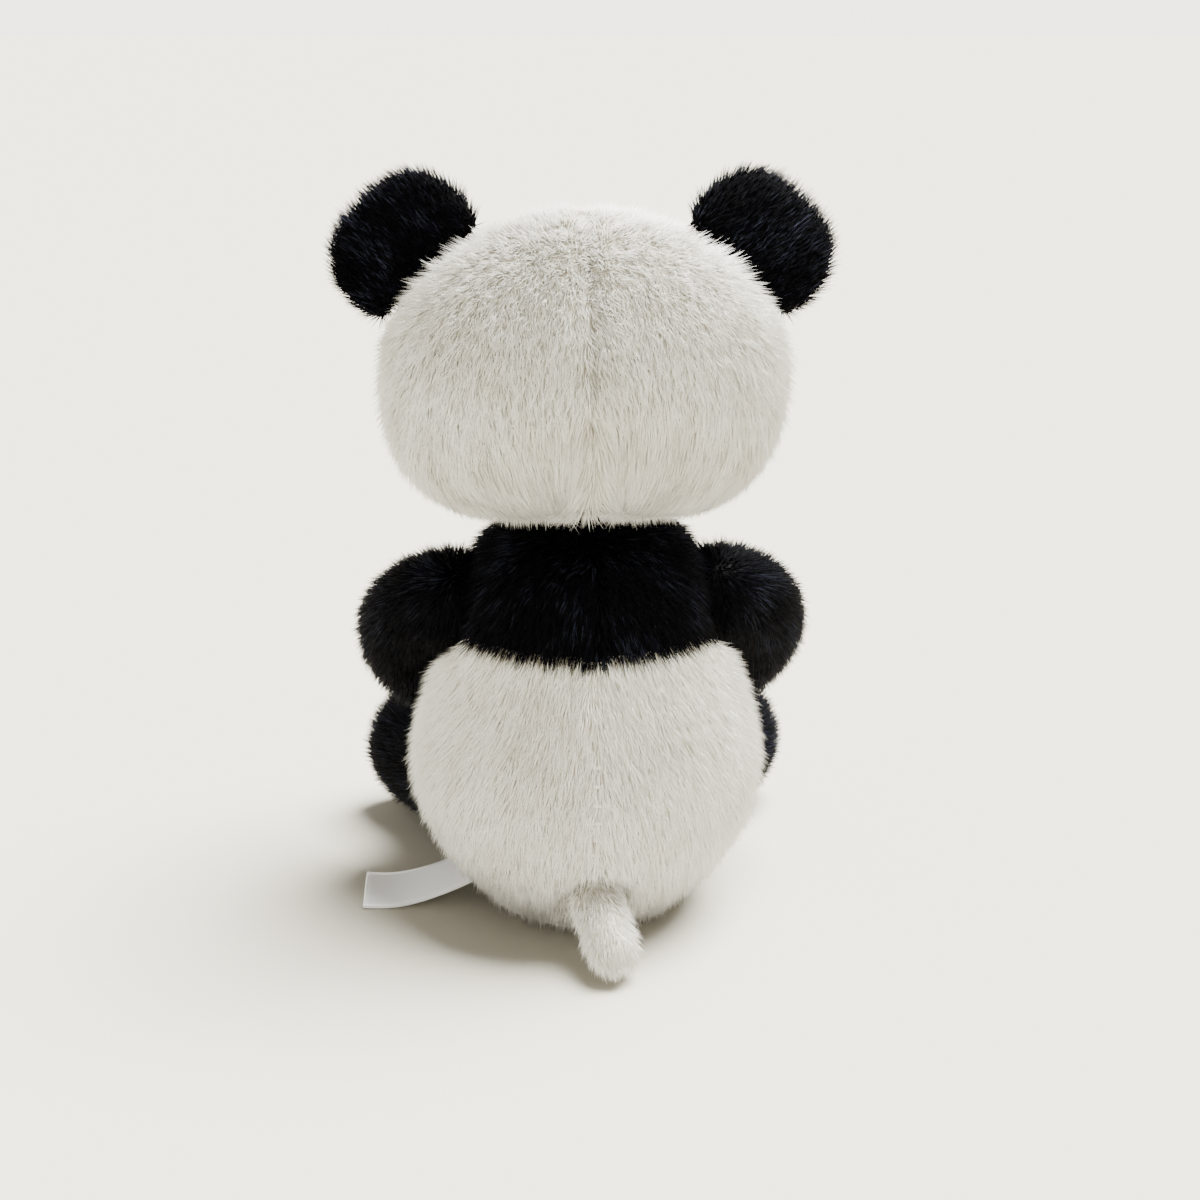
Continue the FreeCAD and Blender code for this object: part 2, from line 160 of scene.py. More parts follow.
def filled_form(name, nodes, size):
    """One closed skin round several solids, with nothing inside it."""
    surface = surface_of(nodes)
    mesh = bpy.data.meshes.new(name)
    surface.to_mesh(mesh)
    surface.free()
    piece = new_piece(name, mesh)
    wrap = piece.modifiers.new("wrap", "REMESH")
    wrap.mode = "VOXEL"
    wrap.voxel_size = size
    wrap.use_smooth_shade = True
    settle(piece)
    keep_outside(piece.data)
    return piece


def keep_outside(mesh):
    """Leaves only the widest of a mesh's separate parts, and eases out its steps."""
    whole = bmesh.new()
    whole.from_mesh(mesh)
    waiting = set(whole.verts)
    parts = []
    while waiting:
        first = waiting.pop()
        part, edge = [first], [first]
        while edge:
            here = edge.pop()
            for link in here.link_edges:
                other = link.other_vert(here)
                if other in waiting:
                    waiting.remove(other)
                    part.append(other)
                    edge.append(other)
        parts.append(part)
    parts.sort(key=len)
    for part in parts[:-1]:
        bmesh.ops.delete(whole, geom=part, context="VERTS")
    for _ in range(3):
        bmesh.ops.smooth_vert(whole, verts=whole.verts, factor=0.5, use_axis_x=True, use_axis_y=True,
                              use_axis_z=True)
    bmesh.ops.recalc_face_normals(whole, faces=whole.faces)
    whole.to_mesh(mesh)
    whole.free()


def plump(piece, held, cap, start=2.2 * MM, pressure=4.0, frames=20):
    """Blows a form up like stuffed cloth: held vertices stay, and no other moves further than cap."""
    mesh = piece.data
    designed = places(mesh)
    before = designed - upright(mesh) * start
    move_to(mesh, before)
    group = piece.vertex_groups.new(name="held")
    for index in np.flatnonzero(held > 0.01):
        group.add([int(index)], float(held[index]), "REPLACE")
    cloth = piece.modifiers.new("stuffing", "CLOTH")
    cloth.settings.quality = 5
    cloth.settings.use_pressure = True
    cloth.settings.uniform_pressure_force = pressure
    cloth.settings.effector_weights.gravity = 0
    cloth.settings.vertex_group_mass = "held"
    cloth.settings.bending_stiffness = 2
    cloth.collision_settings.use_collision = False
    cloth.point_cache.frame_start = 1
    cloth.point_cache.frame_end = frames
    for step in range(1, frames + 1):
        bpy.context.scene.frame_set(step)
    settle(piece)
    piece.vertex_groups.clear()
    after = places(piece.data)
    moved = after - before
    length = np.linalg.norm(moved, axis=1, keepdims=True)
    after = before + moved * np.minimum(1, cap / np.maximum(length, 1e-9))
    move_to(piece.data, after)
    finer = piece.modifiers.new("finer", "SUBSURF")
    finer.levels = finer.render_levels = 1
    settle(piece)
    piece.data.shade_smooth()


def beside_seam(distance):
    """1 along a seam, falling to 0 where the cloth is free of it."""
    return 1 - fade(abs(distance), seam_half, seam_reach)


def gap_to(tree, points, normals, reach):
    """How far it is straight out from each point to the next body, up to reach."""
    gaps = np.full(len(points), reach)
    for index, (point, normal) in enumerate(zip(points, normals)):
        hit = tree.ray_cast(Vector(point - normal * 2 * MM), Vector(normal), reach + 2 * MM)
        if hit[0] is not None:
            gaps[index] = max(0.0, hit[3] - 2 * MM)
    return gaps


def nearness(tree, points, far):
    """1 on the surface of another body, falling to 0 at the distance far."""
    distance = np.array([tree.find_nearest(Vector(point), far)[3] or far
                         if tree.find_nearest(Vector(point), far)[0] is not None else far
                         for point in points])
    return 1 - fade(distance, 0.3 * far, far)


def store(mesh, name, values):
    kind = "FLOAT_VECTOR" if values.ndim == 2 else "FLOAT"
    layer = mesh.attributes.new(name, kind, "POINT")
    layer.data.foreach_set("vector" if values.ndim == 2 else "value", values.astype(np.float32).ravel())


def brushed(piece, flow, lean, length, cover, tone=0.0, ruffle=1.0):
    """Writes down how the pile lies at each vertex: its way, lean, length, cover, painted shade and disorder."""
    mesh = piece.data
    normals = upright(mesh)
    along = unit(flow - normals * (flow * normals).sum(1)[:, None])
    count = len(normals)
    store(mesh, "up", normals)
    store(mesh, "along", along)
    store(mesh, "lean", np.broadcast_to(lean, count))
    store(mesh, "pile_length", np.broadcast_to(length, count))
    store(mesh, "cover", np.broadcast_to(cover, count))
    # The tone offset is painted shade, lowering the tone where the pile lies flat.
    store(mesh, "shade", np.broadcast_to(tone, count))
    store(mesh, "ruffle", np.broadcast_to(ruffle, count))


def pressed(gaps, pile_length):
    """Length and cover of the pile with so much room in front of it: short where pressed, but never bare."""
    return np.clip(2.0 * gaps, pressed_pile, pile_length), 0.6 + 0.4 * fade(gaps, 0.6 * MM, 3 * MM)


def link(tree, source, target):
    tree.links.new(source, target)


def out(node, name=None):
    """The output of a node that is in use, by its name."""
    return next(s for s in node.outputs if s.enabled and (name is None or s.name == name))


def into(node, name):
    return next(s for s in node.inputs if s.enabled and s.name == name)


def pile_tree():
    """Plants a closed, pointed strand at random points of a panel, leaning as the pile is brushed."""
    tree = bpy.data.node_groups.new("pile", "GeometryNodeTree")
    face = tree.interface
    face.new_socket("Geometry", in_out="INPUT", socket_type="NodeSocketGeometry")
    for label, value in (("Strands per Square Metre", strand_density), ("Strand Width", strand_width),
                         ("Roots Sunk", pile_sunk), ("Tuft Size", 3.6 * MM), ("Tuft Spread", 0.9),
                         ("Stray", 0.20), ("Tone Spread", white_spread), ("Patch Size", 13 * MM),
                         ("Patchiness", 0.9), ("Floor", 0.2 * MM)):
        face.new_socket(label, in_out="INPUT", socket_type="NodeSocketFloat").default_value = value
    face.new_socket("Seed", in_out="INPUT", socket_type="NodeSocketInt")
    face.new_socket("Material", in_out="INPUT", socket_type="NodeSocketMaterial")
    face.new_socket("Geometry", in_out="OUTPUT", socket_type="NodeSocketGeometry")
    nodes = tree.nodes
    given = nodes.new("NodeGroupInput")
    result = nodes.new("NodeGroupOutput")

    def node(kind, **settings):
        made = nodes.new(kind)
        for name, value in settings.items():
            setattr(made, name, value)
        return made

    def number(operation, *values):
        made = node("ShaderNodeMath", operation=operation)
        for socket, value in zip(made.inputs, values):
            if hasattr(value, "is_output"):
                link(tree, value, socket)
            else:
                socket.default_value = value
        return made.outputs[0]

    def vector(operation, *values):
        made = node("ShaderNodeVectorMath", operation=operation)
        sockets = [made.inputs["Scale"] if operation == "SCALE" and i else made.inputs[i]
                   for i in range(len(values))]
        for socket, value in zip(sockets, values):
            if hasattr(value, "is_output"):
                link(tree, value, socket)
            else:
                socket.default_value = value
        return out(made)

    def named(name, kind):
        made = node("GeometryNodeInputNamedAttribute", data_type=kind)
        made.inputs["Name"].default_value = name
        return out(made, "Attribute")

    def chance(low, high, offset):
        made = node("FunctionNodeRandomValue", data_type="FLOAT")
        into(made, "Min").default_value = low
        into(made, "Max").default_value = high
        link(tree, number("ADD", given.outputs["Seed"], offset), into(made, "Seed"))
        return out(made, "Value")

    def keep(geometry, name, kind, domain, value):
        made = node("GeometryNodeStoreNamedAttribute", data_type=kind, domain=domain)
        made.inputs["Name"].default_value = name
        link(tree, geometry, made.inputs["Geometry"])
        link(tree, value, into(made, "Value"))
        return made.outputs["Geometry"]

    def three(x, y, z):
        made = node("ShaderNodeCombineXYZ")
        for socket, value in zip(made.inputs, (x, y, z)):
            if hasattr(value, "is_output"):
                link(tree, value, socket)
            else:
                socket.default_value = value
        return made.outputs[0]

    def parts(value):
        made = node("ShaderNodeSeparateXYZ")
        link(tree, value, made.inputs[0])
        return made.outputs

    spot = node("GeometryNodeDistributePointsOnFaces", distribute_method="RANDOM")
    link(tree, given.outputs["Geometry"], spot.inputs["Mesh"])
    link(tree, named("pile_side", "BOOLEAN"), spot.inputs["Selection"])
    density = number("MULTIPLY", given.outputs["Strands per Square Metre"], named("cover", "FLOAT"))
    link(tree, density, into(spot, "Density"))
    link(tree, given.outputs["Seed"], into(spot, "Seed"))

    place = node("GeometryNodeInputPosition").outputs[0]
    tufts = node("ShaderNodeTexNoise")
    tufts.inputs["Detail"].default_value = 1.5
    link(tree, vector("ADD", place, three(number("MULTIPLY", given.outputs["Seed"], 0.37), 0.0, 0.0)),
         tufts.inputs["Vector"])
    link(tree, number("DIVIDE", 1.0, given.outputs["Tuft Size"]), tufts.inputs["Scale"])
    together = vector("SUBTRACT", tufts.outputs["Color"], (0.5, 0.5, 0.5))
    ruffle = named("ruffle", "FLOAT")
    together = vector("SCALE", together, number("MULTIPLY", given.outputs["Tuft Spread"], ruffle))
    stray = vector("SCALE", three(chance(-1, 1, 11), chance(-1, 1, 12), chance(-1, 1, 13)),
                   number("MULTIPLY", given.outputs["Stray"], ruffle))
    lean = named("lean", "FLOAT")
    up = named("up", "FLOAT_VECTOR")
    way = vector("ADD", vector("SCALE", named("along", "FLOAT_VECTOR"), number("SINE", lean)),
                 vector("SCALE", up, number("COSINE", lean)))
    way = vector("ADD", vector("ADD", way, together), stray)
    risen = number("MAXIMUM", vector("DOT_PRODUCT", way, up), 0.2)
    level = vector("SUBTRACT", way, vector("SCALE", up, vector("DOT_PRODUCT", way, up)))
    way = vector("ADD", level, vector("SCALE", up, risen))

    sunk = node("GeometryNodeSetPosition")
    link(tree, spot.outputs["Points"], sunk.inputs["Geometry"])
    link(tree, vector("SCALE", up, number("MULTIPLY", given.outputs["Roots Sunk"], -1.0)),
         sunk.inputs["Offset"])
    patches = node("ShaderNodeTexNoise")
    patches.inputs["Detail"].default_value = 2.0
    link(tree, place, patches.inputs["Vector"])
    link(tree, number("DIVIDE", 1.0, given.outputs["Patch Size"]), patches.inputs["Scale"])
    patch = number("MULTIPLY", number("SUBTRACT", patches.outputs["Fac"], 0.5), given.outputs["Patchiness"])
    # Each strand's tone is a random tone, plus slow lighter and darker patches, plus the painted shade the panel
    # carries.
    own = number("MULTIPLY", chance(-1, 1, 14), given.outputs["Tone Spread"])
    toned = keep(sunk.outputs["Geometry"], "tone", "FLOAT", "POINT",
                 number("ADD", number("ADD", number("ADD", own, patch), 0.52), named("shade", "FLOAT")))

    strand = node("GeometryNodeMeshCone", fill_type="NGON")
    for label, value in (("Vertices", 3), ("Side Segments", 1), ("Radius Top", 0.0),
                         ("Radius Bottom", 0.5), ("Depth", 1.0)):
        strand.inputs[label].default_value = value
    smooth = node("GeometryNodeSetShadeSmooth")
    link(tree, strand.outputs["Mesh"], smooth.inputs["Geometry"])
    shaped = keep(smooth.outputs["Geometry"], "on_strand", "FLOAT_VECTOR", "POINT", place)

    turned = node("FunctionNodeAlignRotationToVector", axis="Z")
    link(tree, way, turned.inputs["Vector"])
    rolled = node("FunctionNodeRotateRotation", rotation_space="LOCAL")
    link(tree, turned.outputs[0], rolled.inputs["Rotation"])
    link(tree, three(0.0, 0.0, chance(0, 2 * math.pi, 15)), rolled.inputs["Rotate By"])
    wide = number("MULTIPLY", given.outputs["Strand Width"], chance(0.7, 1.25, 16))
    size = three(wide, number("MULTIPLY", wide, 0.6),
                 number("MULTIPLY", named("pile_length", "FLOAT"), chance(0.68, 1.12, 17)))
    planted = node("GeometryNodeInstanceOnPoints")
    link(tree, toned, planted.inputs["Points"])
    link(tree, shaped, planted.inputs["Instance"])
    link(tree, rolled.outputs[0], planted.inputs["Rotation"])
    link(tree, size, planted.inputs["Scale"])
    real = node("GeometryNodeRealizeInstances")
    link(tree, planted.outputs["Instances"], real.inputs["Geometry"])

    at = parts(place)
    above = three(at[0], at[1], number("MAXIMUM", at[2], given.outputs["Floor"]))
    clear = node("GeometryNodeSetPosition")
    link(tree, real.outputs["Geometry"], clear.inputs["Geometry"])
    link(tree, above, clear.inputs["Position"])
    across = parts(named("on_strand", "FLOAT_VECTOR"))
    column = number("ADD", named("tone", "FLOAT"), number("MULTIPLY", across[0], 0.012))
    # The second coordinate runs up each strand from root to tip, for the painted root shade.
    strands = keep(clear.outputs["Geometry"], "OFBake", "FLOAT2", "CORNER",
                   three(number("MINIMUM", number("MAXIMUM", column, 0.002), 0.998),
                         number("MULTIPLY_ADD", across[2], 0.9, 0.08), 0.0))
    # The backing takes the greyer tones and the foot of the root ramp: painted shade between the strands.
    backing = keep(given.outputs["Geometry"], "OFBake", "FLOAT2", "CORNER",
                   three(number("MULTIPLY_ADD", number("FRACT", number("MULTIPLY", at[0], 9.0)), 0.4, 0.1),
                         number("MULTIPLY", number("FRACT", number("MULTIPLY", at[2], 9.0)), 0.06), 0.0))
    both = node("GeometryNodeJoinGeometry")
    link(tree, backing, both.inputs[0])
    link(tree, strands, both.inputs[0])
    dressed = node("GeometryNodeSetMaterial")
    link(tree, both.outputs[0], dressed.inputs["Geometry"])
    link(tree, given.outputs["Material"], dressed.inputs["Material"])
    link(tree, dressed.outputs[0], result.inputs["Geometry"])
    return tree


pile = pile_tree()
pile_socket = {s.name: s.identifier for s in pile.interface.items_tree if s.in_out == "INPUT"}


def shader(name):
    """A new material with its node tree, and a helper that adds a node and links what it is given."""
    made = bpy.data.materials.new(name)
    made.use_nodes = True
    tree = made.node_tree
    surface = tree.nodes["Principled BSDF"]

    def node(kind, **inputs):
        added = tree.nodes.new(kind)
        for label, value in inputs.items():
            socket = added.inputs[label.replace("_", " ")]
            if hasattr(value, "is_output"):
                tree.links.new(value, socket)
            else:
                socket.default_value = value
        return added

    return made, tree, surface, node


def object_place(tree):
    return tree.nodes.new("ShaderNodeTexCoord").outputs["Object"]


def ramp(tree, source, stops):
    made = tree.nodes.new("ShaderNodeValToRGB")
    band = made.color_ramp
    while len(band.elements) < len(stops):
        band.elements.new(0.5)
    for element, (where, colour) in zip(band.elements, stops):
        element.position = where
        element.color = (*colour, 1.0)
    tree.links.new(source, made.inputs[0])
    return made.outputs["Color"]


def blend_colours(tree, kind, share, first, second):
    made = tree.nodes.new("ShaderNodeMix")
    made.data_type = "RGBA"
    made.blend_type = kind
    made.inputs["Factor"].default_value = share
    tree.links.new(first, made.inputs["A"])
    tree.links.new(second, made.inputs["B"])
    return made.outputs["Result"]


def pile_finish(name, tones, painted_root_shade, roughness, sheen, shine):
    """Pile dyed in the yarn: the first ramp gives each strand its colour, the palest black ones painted glints,
    and the second ramp darkens it towards its root as painted shade.
    """
    made, tree, surface, node = shader(name)
    where = node("ShaderNodeUVMap")
    where.uv_map = "OFBake"
    split = node("ShaderNodeSeparateXYZ", Vector=where.outputs[0])
    own = ramp(tree, split.outputs["X"], tones)
    # Darker down at the root: painted shade between the strands.
    depth = ramp(tree, split.outputs["Y"], painted_root_shade)
    tree.links.new(blend_colours(tree, "MULTIPLY", 1.0, own, depth), surface.inputs["Base Color"])
    surface.inputs["Roughness"].default_value = roughness
    surface.inputs["Sheen Weight"].default_value = sheen
    surface.inputs["Sheen Roughness"].default_value = 0.5
    surface.inputs["Specular IOR Level"].default_value = shine
    return made


# The dark end of the white tones colours the greyer strands and patches, and also the painted shade where the pile
# lies flat; the second ramp is painted root shade.
white_pile = pile_finish("white_pile",
                         [(0.0, (0.50, 0.475, 0.405)), (0.3, (0.79, 0.77, 0.70)), (0.6, (0.93, 0.92, 0.875)),
                          (1.0, (0.98, 0.98, 0.965))],
                         [(0.0, (0.66, 0.62, 0.54)), (0.25, (0.84, 0.82, 0.76)), (0.6, (0.97, 0.965, 0.95)),
                          (1.0, (1.0, 1.0, 1.0))], 0.75, 0.15, 0.15)
# The palest black tones, on the few strands that reach them, are painted glints; the second ramp is painted root
# shade.
black_pile = pile_finish("black_pile",
                         [(0.0, (0.0006, 0.0006, 0.0012)), (0.80, (0.0012, 0.0013, 0.0026)),
                          (0.92, (0.003, 0.0035, 0.007)), (1.0, (0.030, 0.034, 0.052))],
                         [(0.0, (0.25, 0.25, 0.30)), (0.5, (0.7, 0.7, 0.75)), (1.0, (1.0, 1.0, 1.0))],
                         0.5, 0.0, 0.035)


def cut_along(form, place, normal):
    """Adds edges where a plane passes, so that a seam there is straight."""
    whole = bmesh.new()
    whole.from_mesh(form.data)
    bmesh.ops.bisect_plane(whole, geom=list(whole.verts) + list(whole.edges) + list(whole.faces), dist=1e-6,
                           plane_co=place, plane_no=normal)
    whole.to_mesh(form.data)
    whole.free()


def sewn_panels(form, names, body, finish, seed, density=strand_density, fill=0.9, width=strand_width,
                **tufts):
    """Parts a stuffed form into its panels, each where its solid is, and gives them backing and pile."""
    trees = {name: tree_of([name]) for name in names}
    owner = []
    for flat in form.data.polygons:
        owner.append(min(names, key=lambda n: trees[n].find_nearest(flat.center)[3]))
    owner = np.array(owner)
    made = []
    for number, name in enumerate(names):
        part = bmesh.new()
        part.from_mesh(form.data)
        part.faces.ensure_lookup_table()
        others = [part.faces[i] for i in np.flatnonzero(owner != name)]
        bmesh.ops.delete(part, geom=others, context="FACES")
        mesh = bpy.data.meshes.new(name)
        part.to_mesh(mesh)
        part.free()
        panel = new_piece(name + "_pile", mesh)
        outer = len(mesh.polygons)
        backing = panel.modifiers.new("backing", "SOLIDIFY")
        backing.thickness = backing_thickness
        backing.offset = -1
        settle(panel)
        side = panel.data.attributes.new("pile_side", "BOOLEAN", "FACE")
        side.data.foreach_set("value", np.arange(len(panel.data.polygons)) < outer)
        panel.data.shade_smooth()
        growth = panel.modifiers.new("pile", "NODES")
        growth.node_group = pile
        growth[pile_socket["Seed"]] = seed + number
        growth[pile_socket["Material"]] = finish[name]
        growth[pile_socket["Strands per Square Metre"]] = density
        growth[pile_socket["Strand Width"]] = width
        # Black pile spreads its tones wider, for its painted glints.
        growth[pile_socket["Tone Spread"]] = black_glint_spread if finish[name] is black_pile else white_spread
        for label, value in tufts.items():
            growth[pile_socket[label.replace("_", " ")]] = value
        settle(panel)
        for label in ("up", "along", "lean", "pile_length", "cover", "shade", "ruffle",
                      "pile_side", "on_strand", "tone"):
            layer = panel.data.attributes.get(label)
            if layer is not None:
                panel.data.attributes.remove(layer)
        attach(panel, body)
        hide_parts(name)
        made.append(panel)
    bpy.data.objects.remove(form)
    return made


def all_but(*bodies):
    """Every solid on the other bodies."""
    groups = frame["record"]["behaviour"]["bodies"]
    return [node for body, nodes in groups.items() if body not in bodies for node in nodes]


def lifted(joint, share):
    """The surface of a joint's body, turned by a share of the joint's travel."""
    turn = Matrix.Rotation(math.radians(joint["range_deg"][1] * share), 4, Vector(joint["axis"]))
    place = Matrix.Translation(Vector(joint["pos_m"]))
    body = surface_of(frame["record"]["behaviour"]["bodies"][joint["child"]])
    body.transform(place @ turn @ place.inverted())
    tree = BVHTree.FromBMesh(body)
    body.free()
    return tree


torso = filled_form("torso_form", torso_panels + ["base_panel", "body_stuffing"], voxel)
points = places(torso.data)
beside = tree_of(all_but("torso", "neck"))
raised = [lifted(joint, share) for joint in frame["joints"] if joint["child"].startswith("leg_")
          for share in (0.5, 1.0)]
seam_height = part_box("yoke_front")[0].z
on_seam = np.maximum(beside_seam(points[:, 0]) * (points[:, 1] > 0), beside_seam(points[:, 1]))
on_seam = np.maximum(on_seam, beside_seam(points[:, 2] - seam_height))
held = np.maximum(on_seam, nearness(beside, points, 6 * MM))
for leg in raised:
    held = np.maximum(held, nearness(leg, points, 4 * MM))
held = np.maximum(held, 1 - fade(points[:, 2], 2 * MM, 8 * MM))
plump(torso, held, swell)

points, normals = places(torso.data), upright(torso.data)
gaps = gap_to(beside, points, normals, 16 * MM)
for leg in raised:
    gaps = np.minimum(gaps, gap_to(leg, points, normals, 16 * MM) + 0.5 * MM)
behind = fade(points[:, 1], -5 * MM, 5 * MM)
parting = np.exp(-(points[:, 0] / (12 * MM)) ** 2) * np.sign(points[:, 0])
flow = np.zeros_like(points)
flow[:, 0] = 0.2 * parting * behind
flow[:, 2] = -1
length, cover = pressed(gaps, torso_pile)
brushed(torso, flow, torso_lean, length, cover * fade(points[:, 2], 0.5 * MM, 3 * MM))
cut_along(torso, (0, 0, seam_height), (0, 0, 1))
cut_along(torso, (0, 0, 0), (1, 0, 0))
cut_along(torso, (0, 0, 0), (0, 1, 0))
torso_finish = {name: black_pile if name in black_share else white_pile for name in torso_panels}
sewn_panels(torso, torso_panels, "torso", torso_finish, seed=100)


# ---- Stuffing ----
# White polyester fibre fills the head, the torso, the limbs and the tail, pushed in through the back seam
# until they are firm. It stands a little inside the panels, and clear of the washers and the pellets.

def fibre_finish():
    made, tree, surface, node = shader("stuffing_fibre")
    where = object_place(tree)
    tangle = node("ShaderNodeTexNoise", Vector=where, Scale=420.0, Detail=6.0, Distortion=2.0)
    # Greyer in the hollows of the tangle, where the bump dips: painted shade.
    tree.links.new(ramp(tree, tangle.outputs["Fac"], [(0.3, (0.72, 0.72, 0.70)), (0.7, (0.93, 0.93, 0.92))]),
                   surface.inputs["Base Color"])
    bump = node("ShaderNodeBump", Height=tangle.outputs["Fac"], Strength=0.6, Distance=1.5 * MM)
    tree.links.new(bump.outputs["Normal"], surface.inputs["Normal"])
    surface.inputs["Roughness"].default_value = 0.95
    surface.inputs["Sheen Weight"].default_value = 0.3
    return made


fibre = fibre_finish()
lump_frequency = 420
lump_height = 0.6 * MM


def fill_with_fibre(node, body, size=3.0 * MM, inset=3.0 * MM):
    """The filling of one stuffed part, drawn in from its solid, and lumpy."""
    form = filled_form(node + "_fibre", [node], size)
    normals = upright(form.data)
    points = places(form.data)
    lumps = np.sin(points * lump_frequency).prod(1)[:, None]
    move_to(form.data, points - normals * (inset + lumps * lump_height))
    form.data.materials.append(fibre)
    form.data.shade_smooth()
    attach(form, body)
    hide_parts(node)


for node, body in [("body_stuffing", "torso"), ("head_stuffing", "head"), ("arm_left_stuffing", "arm_left"),
                   ("arm_right_stuffing", "arm_right"), ("leg_left_stuffing", "leg_left"),
                   ("leg_right_stuffing", "leg_right")]:
    fill_with_fibre(node, body)
fill_with_fibre("muzzle_stuffing", "head", size=2 * MM, inset=1.5 * MM)
fill_with_fibre("tail_stuffing", "tail", size=1.5 * MM, inset=1.5 * MM)


# ---- Head panels ----
# The head is four panels of white plush, two behind and two for the face, with a seam down the middle and
# one over the crown behind the ears. The back seam is pinched, so the pile parts along it. The nap is
# fluffed up over the upper back, and brushed flat below a crease, where the pile is painted darker as
# painted shade.

head_panels = ["head_back_left", "head_back_right", "face_left", "face_right"]
head_pile = 9.5 * MM
face_pile = 7.0 * MM
squareness = 2.7                 # of the head's lower corners, where 2 is a plain oval
widest_jowl = 1.34
pinch_depth = 3.0 * MM
crease_height = 1.5 * MM         # above the head's middle, at the back seam
crease_falls = (0.56, 0.20)      # to the left and to the right
crease_blur = 3 * MM             # half the height over which the pile changes there
parting_width = 9 * MM
eye_trim = (10 * MM, 24 * MM)    # the pile is shortest at the first distance, and full at the second
head = filled_form("head_form", head_panels + ["head_stuffing"], voxel)
points = places(head.data)
off_head = tree_of(all_but("head"))
seam_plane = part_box("face_left")[1].y
head_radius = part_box("head_back_left")[1].y - seam_plane
head_middle = np.array((0, seam_plane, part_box("head_back_left")[1].z - head_radius))
from_middle = points - head_middle
below = np.clip(-from_middle[:, 2] / head_radius, 0, 0.9)
jowls = (1 - below ** squareness) ** (1 / squareness) / np.sqrt(1 - below ** 2)
points[:, 0] *= np.minimum(jowls, widest_jowl)
move_to(head.data, points)
from_middle = points - head_middle
held = np.maximum(beside_seam(points[:, 0]), beside_seam(from_middle[:, 1]))
held = np.maximum(held, nearness(off_head, points, 5 * MM))
plump(head, held, swell)

points = places(head.data)
from_middle = points - head_middle
pinch = np.exp(-(points[:, 0] / (3.5 * MM)) ** 2) * fade(from_middle[:, 1], 0, 10 * MM)
pinch *= 0.35 + 0.65 * fade(from_middle[:, 2], -5 * MM, 8 * MM)
move_to(head.data, points - upright(head.data) * (pinch * pinch_depth)[:, None])

points, normals = places(head.data), upright(head.data)
from_middle = points - head_middle
gaps = gap_to(off_head, points, normals, 20 * MM)
nose_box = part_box("nose")
nose_place = np.array((0, nose_box[0].y, (nose_box[0].z + nose_box[1].z) / 2))
behind = fade(from_middle[:, 1], -14 * MM, 8 * MM)[:, None]
flow = unit(points - nose_place) * (1 - behind) + np.array((0, 0.75, -1.0)) * behind
parting = np.exp(-(points[:, 0] / parting_width) ** 2) * np.sign(points[:, 0])
upper = fade(from_middle[:, 2], -12 * MM, 6 * MM)
flow[:, 0] += (0.15 + 0.45 * upper) * parting * behind[:, 0]
left = np.maximum(points[:, 0], 0)
right = np.maximum(-points[:, 0], 0)
crease = crease_height - crease_falls[0] * left - crease_falls[1] * right
softness = crease_blur + 0.35 * right + np.maximum(left - 36 * MM, 0)
fluffed = fade(from_middle[:, 2] - crease, -softness, softness) * behind[:, 0]
eyes = [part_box("eye_left"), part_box("eye_right")]
eye_middles = [np.array((box[0] + box[1]) / 2) for box in eyes]
to_eye = np.min([np.linalg.norm(points - middle, axis=1) for middle in eye_middles], axis=0)
to_eye = np.minimum(to_eye, np.linalg.norm(points - nose_place, axis=1) - 8 * MM)
length = face_pile + (head_pile - face_pile) * behind[:, 0]
length *= 0.35 + 0.65 * fade(to_eye, *eye_trim)
lean = np.radians(68 - 14 * fluffed)
length, cover = pressed(gaps, length)
# The flat pile on the lower back of the head gets a lower tone: painted shade below the crease.
brushed(head, flow, lean, length, cover,
        tone=-0.20 * behind[:, 0] * (1 - fluffed), ruffle=0.5 + 0.8 * fluffed)
cut_along(head, (0, 0, 0), (1, 0, 0))
cut_along(head, tuple(head_middle), (0, 1, 0))
sewn_panels(head, head_panels, "head", dict.fromkeys(head_panels, white_pile), seed=200)


# ---- Muzzle ----
# A small padded dome of the same white plush, stuffed and sewn to the front of the face. Its pile is
# trimmed short, and it carries the nose and the mouth.

muzzle = filled_form("muzzle_form", ["muzzle_panel", "muzzle_stuffing"], 2.5 * MM)
points = places(muzzle.data)
inside_head = fade(points[:, 1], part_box("muzzle_panel")[1].y - 8 * MM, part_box("muzzle_panel")[1].y - 3 * MM)
plump(muzzle, inside_head, swell, start=1.5 * MM)
points = places(muzzle.data)
to_nose = np.linalg.norm(points - nose_place, axis=1)
brushed(muzzle, points - nose_place, math.radians(58), 2.2 * MM + 2.6 * MM * fade(to_nose, 9 * MM, 22 * MM),
        fade(to_nose, 4 * MM, 7 * MM), ruffle=0.7)
sewn_panels(muzzle, ["muzzle_panel"], "head", {"muzzle_panel": white_pile}, seed=300)


# ---- Limbs ----
# Each arm and leg is a tube of black plush in two halves, sewn along both sides, stuffed firmly and set
# into the body seams. The foot closes with a round sole, and the tail is a small white one made alike.

limb_pile = 7.5 * MM


def limb(names, filling, body, finish, seed, start, end, pile_length, size=3.5 * MM, cap=swell,
         shrink=2.2 * MM, lean=58, ruffle=1.0, sole=None, **tufts):
    """A stuffed tube of panels whose pile runs from its start to its end."""
    form = filled_form(body + "_form", names + filling, size)
    others = tree_of(all_but(body))
    points = places(form.data)
    plump(form, nearness(others, points, 5 * MM), cap, start=shrink)
    points, normals = places(form.data), upright(form.data)
    gaps = gap_to(others, points, normals, 16 * MM)
    flow = np.broadcast_to(np.array(end, float) - np.array(start, float), points.shape)
    length = np.full(len(points), pile_length)
    if sole is not None:
        length -= 0.55 * pile_length * (nearness(tree_of([sole]), points, 4 * MM) > 0.6)
    length, cover = pressed(gaps, length)
    brushed(form, flow, math.radians(lean), length, cover, ruffle=ruffle)
    sewn_panels(form, names, body, finish, seed, **tufts)


